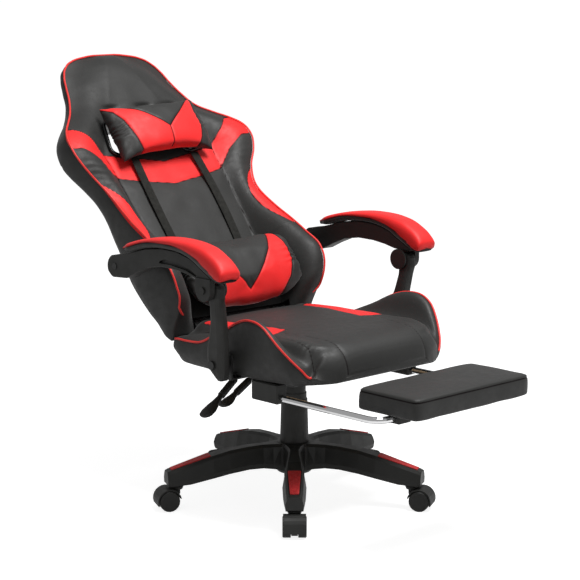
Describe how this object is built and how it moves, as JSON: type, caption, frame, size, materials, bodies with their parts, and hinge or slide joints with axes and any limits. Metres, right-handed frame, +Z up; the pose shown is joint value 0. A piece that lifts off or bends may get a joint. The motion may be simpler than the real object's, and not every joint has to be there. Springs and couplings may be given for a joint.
{
  "type": "gaming chair",
  "caption": "Racing-style reclining swivel chair with winged seat and back, head and lumbar cushions, linked armrests, sliding footrest and a five-star caster base.",
  "frame": {"origin": "on the floor, at the middle of the whole chair's outline", "axes": "+Z up, -Y the way the sitter looks, +X the sitter's left"},
  "size_m": [0.716, 1.3098, 1.0551],
  "materials": {
    "leather_black": "satin, grained",
    "leather_red": "satin, grained",
    "plastic_black": "fine matt texture",
    "plastic_red": "ribbed matt",
    "plastic_wheel": "matt",
    "steel_black": "powder coated",
    "steel_bright": "machined",
    "chrome": "polished",
    "plywood": "raw plywood",
    "webbing": "woven elastic"
  },
  "bodies": {
    "base": {"base_star": "plastic_black", "base_tread_1": "plastic_red", "base_tread_2": "plastic_red", "base_tread_3": "plastic_red", "base_tread_4": "plastic_red", "base_tread_5": "plastic_red", "gas_lift_tube": "steel_black", "cover_lower": "plastic_black"},
    "gas_rod": {"piston_rod": "steel_bright"},
    "cover": {"cover_middle": "plastic_black"},
    "seat": {"pressure_tube": "steel_bright", "cover_upper": "plastic_black", "mechanism_housing": "steel_black", "mechanism_plate": "steel_black", "seat_board": "plywood", "seat_cushion": "leather_black", "footrest_guide_left": "plastic_black", "footrest_guide_right": "plastic_black", "recline_bracket_left": "steel_black", "recline_bracket_right": "steel_black", "recline_axle": "steel_bright", "arm_mount_left": "steel_black", "arm_mount_right": "steel_black"},
    "height_lever": {"height_lever_rod": "steel_black", "height_lever_paddle": "plastic_black"},
    "recline_lever": {"recline_lever_rod": "steel_black", "recline_lever_paddle": "plastic_black"},
    "back": {"back_cushion": "leather_black", "back_frame": "steel_black", "neck_bezel_left": "plastic_black", "neck_bezel_right": "plastic_black", "head_pillow": "leather_red", "lumbar_cushion": "leather_red", "pillow_strap_left": "webbing", "pillow_strap_right": "webbing", "arm_bracket_left": "steel_black", "arm_bracket_right": "steel_black"},
    "armrest_left": {"arm_pad_left": "leather_red", "arm_beam_left": "plastic_black", "arm_pin_left": "plastic_black"},
    "armrest_right": {"arm_pad_right": "leather_red", "arm_beam_right": "plastic_black", "arm_pin_right": "plastic_black"},
    "post_left": {"arm_post_left": "plastic_black"},
    "post_right": {"arm_post_right": "plastic_black"},
    "footrest": {"footrest_tube": "chrome"},
    "footrest_pad": {"footrest_pad": "leather_black", "footrest_board": "plastic_black", "footrest_clamp_left": "plastic_black", "footrest_clamp_right": "plastic_black"},
    "caster_1": {"caster_hood_1": "plastic_black"},
    "wheels_1": {"caster_wheels_1": "plastic_wheel"},
    "caster_2": {"caster_hood_2": "plastic_black"},
    "wheels_2": {"caster_wheels_2": "plastic_wheel"},
    "caster_3": {"caster_hood_3": "plastic_black"},
    "wheels_3": {"caster_wheels_3": "plastic_wheel"},
    "caster_4": {"caster_hood_4": "plastic_black"},
    "wheels_4": {"caster_wheels_4": "plastic_wheel"},
    "caster_5": {"caster_hood_5": "plastic_black"},
    "wheels_5": {"caster_wheels_5": "plastic_wheel"}
  },
  "joints": [
    {"name": "seat_swivel", "type": "hinge", "parent": "base", "child": "gas_rod", "pos_m": [0, -0.0759, 0.2], "axis": [0, 0, 1], "continuous": true},
    {"name": "gas_lift", "type": "slide", "parent": "gas_rod", "child": "seat", "axis": [0, 0, 1], "range_m": [0, 0.07]},
    {"name": "cover_lift", "type": "slide", "parent": "base", "child": "cover", "axis": [0, 0, 1], "range_m": [0, 0.035]},
    {"name": "recline", "type": "hinge", "parent": "seat", "child": "back", "pos_m": [0, 0.1241, 0.42], "axis": [1, 0, 0], "range_deg": [-8, 32]},
    {"name": "armrest_left_turn", "type": "hinge", "parent": "back", "child": "armrest_left", "pos_m": [0.328, 0.1821, 0.588], "axis": [1, 0, 0], "range_deg": [-25.2, 6.4]},
    {"name": "post_left_turn", "type": "hinge", "parent": "seat", "child": "post_left", "pos_m": [0.294, -0.1259, 0.389], "axis": [1, 0, 0], "range_deg": [-7.9, 31.2]},
    {"name": "armrest_right_turn", "type": "hinge", "parent": "back", "child": "armrest_right", "pos_m": [-0.328, 0.1821, 0.588], "axis": [1, 0, 0], "range_deg": [-25.2, 6.4]},
    {"name": "post_right_turn", "type": "hinge", "parent": "seat", "child": "post_right", "pos_m": [-0.294, -0.1259, 0.389], "axis": [1, 0, 0], "range_deg": [-7.9, 31.2]},
    {"name": "footrest_slide", "type": "slide", "parent": "seat", "child": "footrest", "axis": [0, 1, 0], "range_m": [0, 0.24]},
    {"name": "footrest_turn", "type": "hinge", "parent": "footrest", "child": "footrest_pad", "pos_m": [0, -0.5659, 0.319], "axis": [1, 0, 0], "range_deg": [0, 180.01]},
    {"name": "height_lever_lift", "type": "hinge", "parent": "seat", "child": "height_lever", "pos_m": [-0.069, -0.0239, 0.31], "axis": [0, 1, 0], "range_deg": [0, 5], "stiffness_Nm_per_rad": 1.2, "springref_deg": -5.73},
    {"name": "recline_lever_lift", "type": "hinge", "parent": "seat", "child": "recline_lever", "pos_m": [-0.069, 0.0241, 0.31], "axis": [0, 1, 0], "range_deg": [0, 6], "stiffness_Nm_per_rad": 1.2, "springref_deg": -5.73},
    {"name": "caster_swivel_1", "type": "hinge", "parent": "base", "child": "caster_1", "pos_m": [-0.20764, -0.29243, 0.05], "axis": [0, 0, 1], "continuous": true},
    {"name": "caster_roll_1", "type": "hinge", "parent": "caster_1", "child": "wheels_1", "pos_m": [-0.22287, -0.30831, 0.025], "axis": [0.7218, -0.6921, 0], "continuous": true},
    {"name": "caster_swivel_2", "type": "hinge", "parent": "base", "child": "caster_2", "pos_m": [0.14177, -0.34029, 0.05], "axis": [0, 0, 1], "continuous": true},
    {"name": "caster_roll_2", "type": "hinge", "parent": "caster_2", "child": "wheels_2", "pos_m": [0.15216, -0.35968, 0.025], "axis": [0.8813, 0.4726, 0], "continuous": true},
    {"name": "caster_swivel_3", "type": "hinge", "parent": "base", "child": "caster_3", "pos_m": [0.29526, -0.02277, 0.05], "axis": [0, 0, 1], "continuous": true},
    {"name": "caster_roll_3", "type": "hinge", "parent": "caster_3", "child": "wheels_3", "pos_m": [0.31691, -0.01888, 0.025], "axis": [-0.1771, 0.9842, 0], "continuous": true},
    {"name": "caster_swivel_4", "type": "hinge", "parent": "base", "child": "caster_4", "pos_m": [0.04071, 0.22132, 0.05], "axis": [0, 0, 1], "continuous": true},
    {"name": "caster_roll_4", "type": "hinge", "parent": "caster_4", "child": "wheels_4", "pos_m": [0.0437, 0.24312, 0.025], "axis": [-0.9907, 0.1357, 0], "continuous": true},
    {"name": "caster_swivel_5", "type": "hinge", "parent": "base", "child": "caster_5", "pos_m": [-0.2701, 0.05467, 0.05], "axis": [0, 0, 1], "continuous": true},
    {"name": "caster_roll_5", "type": "hinge", "parent": "caster_5", "child": "wheels_5", "pos_m": [-0.2899, 0.06424, 0.025], "axis": [-0.4352, -0.9003, 0], "continuous": true}
  ],
  "couplings": [
    {"joint": "cover_lift", "follows": "gas_lift", "ratio": 0.5},
    {"joint": "armrest_left_turn", "follows": "recline", "ratio": -0.784},
    {"joint": "post_left_turn", "follows": "recline", "ratio": 0.969},
    {"joint": "armrest_right_turn", "follows": "recline", "ratio": -0.784},
    {"joint": "post_right_turn", "follows": "recline", "ratio": 0.969},
    {"joint": "footrest_turn", "follows": "footrest_slide", "rad_per_m": 13.09}
  ]
}
